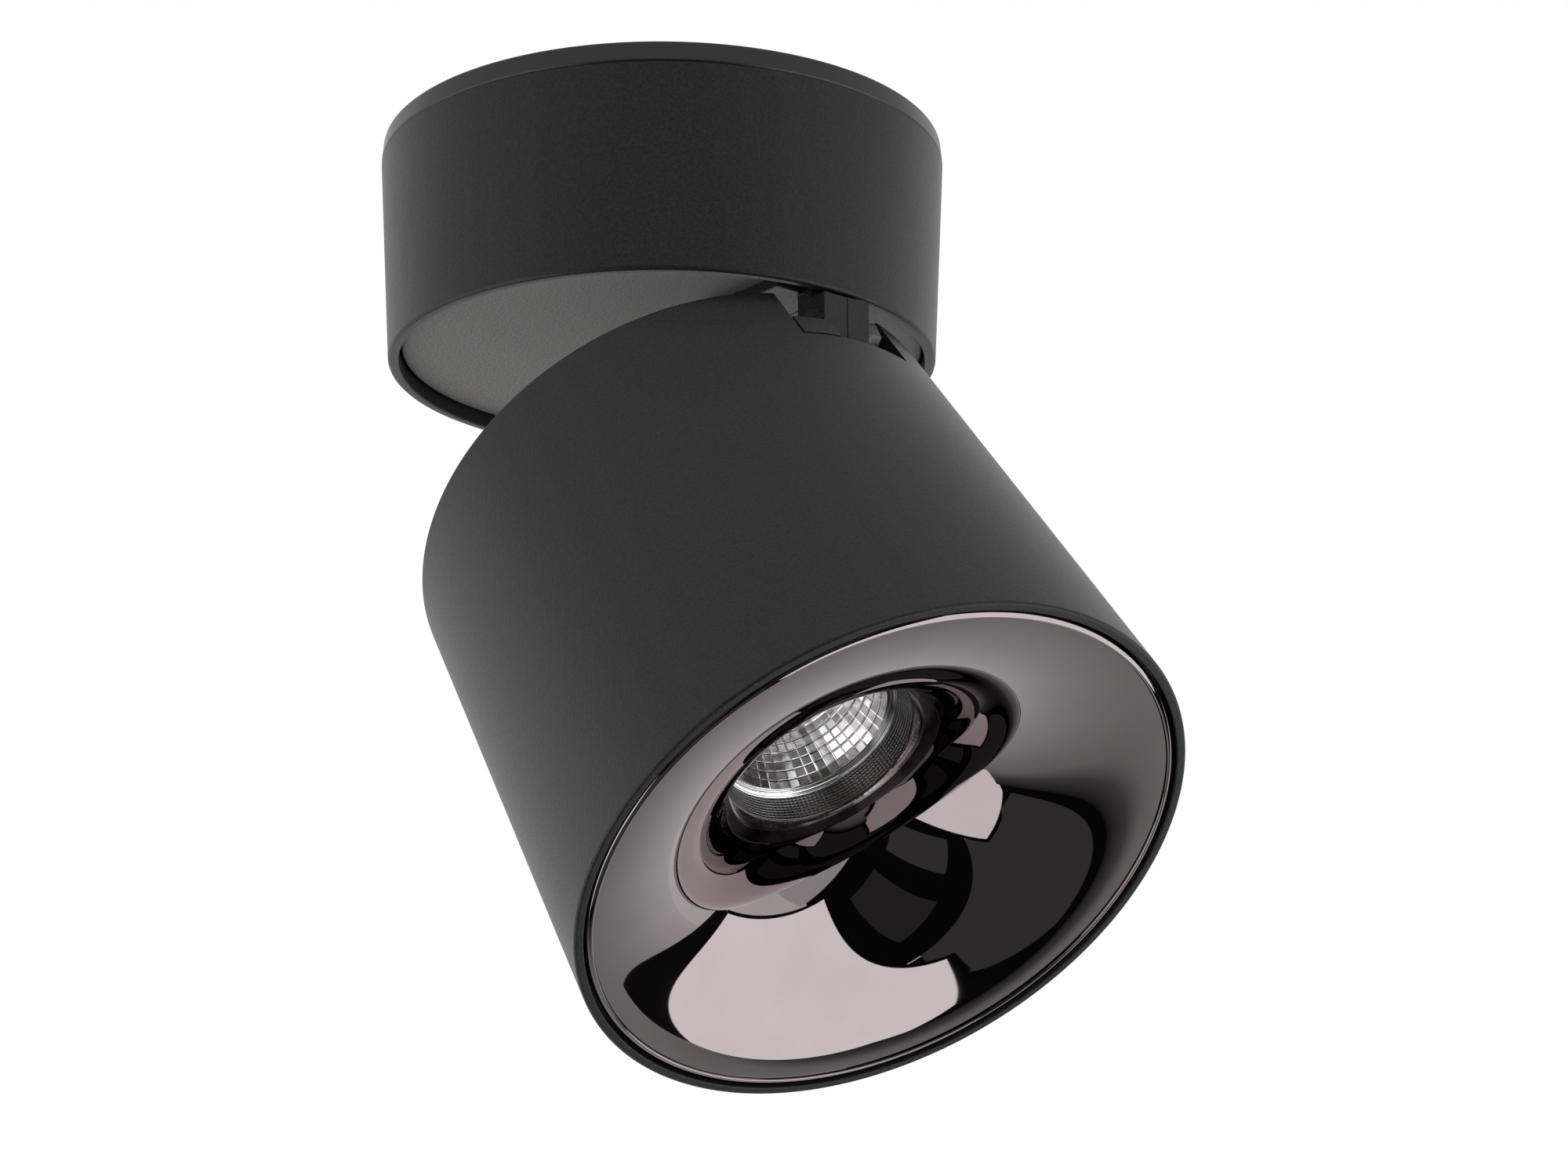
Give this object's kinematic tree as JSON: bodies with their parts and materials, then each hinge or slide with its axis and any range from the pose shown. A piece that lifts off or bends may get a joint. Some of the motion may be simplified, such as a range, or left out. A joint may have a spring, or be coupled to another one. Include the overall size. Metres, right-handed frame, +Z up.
{
  "type": "surface mounted ceiling spotlight",
  "caption": "Surface mounted ceiling spotlight: a tapered cylindrical lamp head with a flared mirror insert, hinged to the edge of a round base and turning on a swivel disc.",
  "frame": {"origin": "centre of the face that lies on the ceiling", "axes": "+Z up into the ceiling; +X from the base's axis towards the hinge at rest; +Y along the hinge pin, towards its nut; the lamp head hangs at -Z"},
  "size_m": [0.1362, 0.0964, 0.1548],
  "materials": {
    "plate_plastic": "smooth satin black plastic",
    "rubber": "black rubber",
    "white_plastic": "white moulded plastic",
    "brass": "plain brass",
    "circuit_board": "green solder mask",
    "steel": "zinc-plated steel",
    "dark_steel": "black-oxide steel",
    "black_coat": "matte black fine-textured powder coat on die-cast aluminium",
    "disc_coat": "coarser dark grey powder coat on die-cast aluminium",
    "nylon": "natural nylon",
    "bare_aluminium": "bare cast aluminium",
    "ceramic": null,
    "phosphor": "yellow silicone phosphor",
    "silver_film": "silver metallised plastic with square facets",
    "smoke_film": "dark metallised plastic with fine facets",
    "black_chrome": "black chrome metallised plastic, a mirror"
  },
  "bodies": {
    "base": {"mounting_plate": "plate_plastic", "cable_grommet": "rubber", "terminal_block": "white_plastic", "terminal_clamps": "brass", "driver_case": "white_plastic", "driver_board": "circuit_board", "driver_lid": "white_plastic", "plate_screws": "steel", "base_housing": "black_coat", "lock_screw": "dark_steel", "friction_ring": "nylon"},
    "swivel": {"swivel_disc": "disc_coat", "pivot_stem": "steel", "spring_washer": "steel", "stop_washer": "steel", "stem_nut": "steel", "hinge_bracket": "black_coat", "hinge_cheek": "black_coat", "bracket_screws": "steel", "hinge_pin": "dark_steel", "pin_washer": "steel", "pin_nut": "steel"},
    "head": {"hinge_arm": "black_coat", "arm_screws": "dark_steel", "head_housing": "black_coat", "rear_cover": "black_coat", "rear_grommet": "rubber", "cover_screws": "dark_steel", "heat_sink": "bare_aluminium", "sink_screws": "steel", "cob_board": "ceramic", "cob_phosphor": "phosphor", "cob_holder": "white_plastic", "cob_screws": "steel", "silver_reflector": "silver_film", "baffle_ring": "smoke_film", "reflector_insert": "black_chrome", "insert_springs": "steel"}
  },
  "joints": [
    {"name": "pan", "type": "hinge", "parent": "base", "child": "swivel", "pos_m": [0, 0, -0.0317], "axis": [0, 0, 1], "range_deg": [-170, 170]},
    {"name": "tilt", "type": "hinge", "parent": "swivel", "child": "head", "pos_m": [0.04015, 0, -0.0418], "axis": [0, -1, 0], "range_deg": [-36.25, 53.75]}
  ]
}
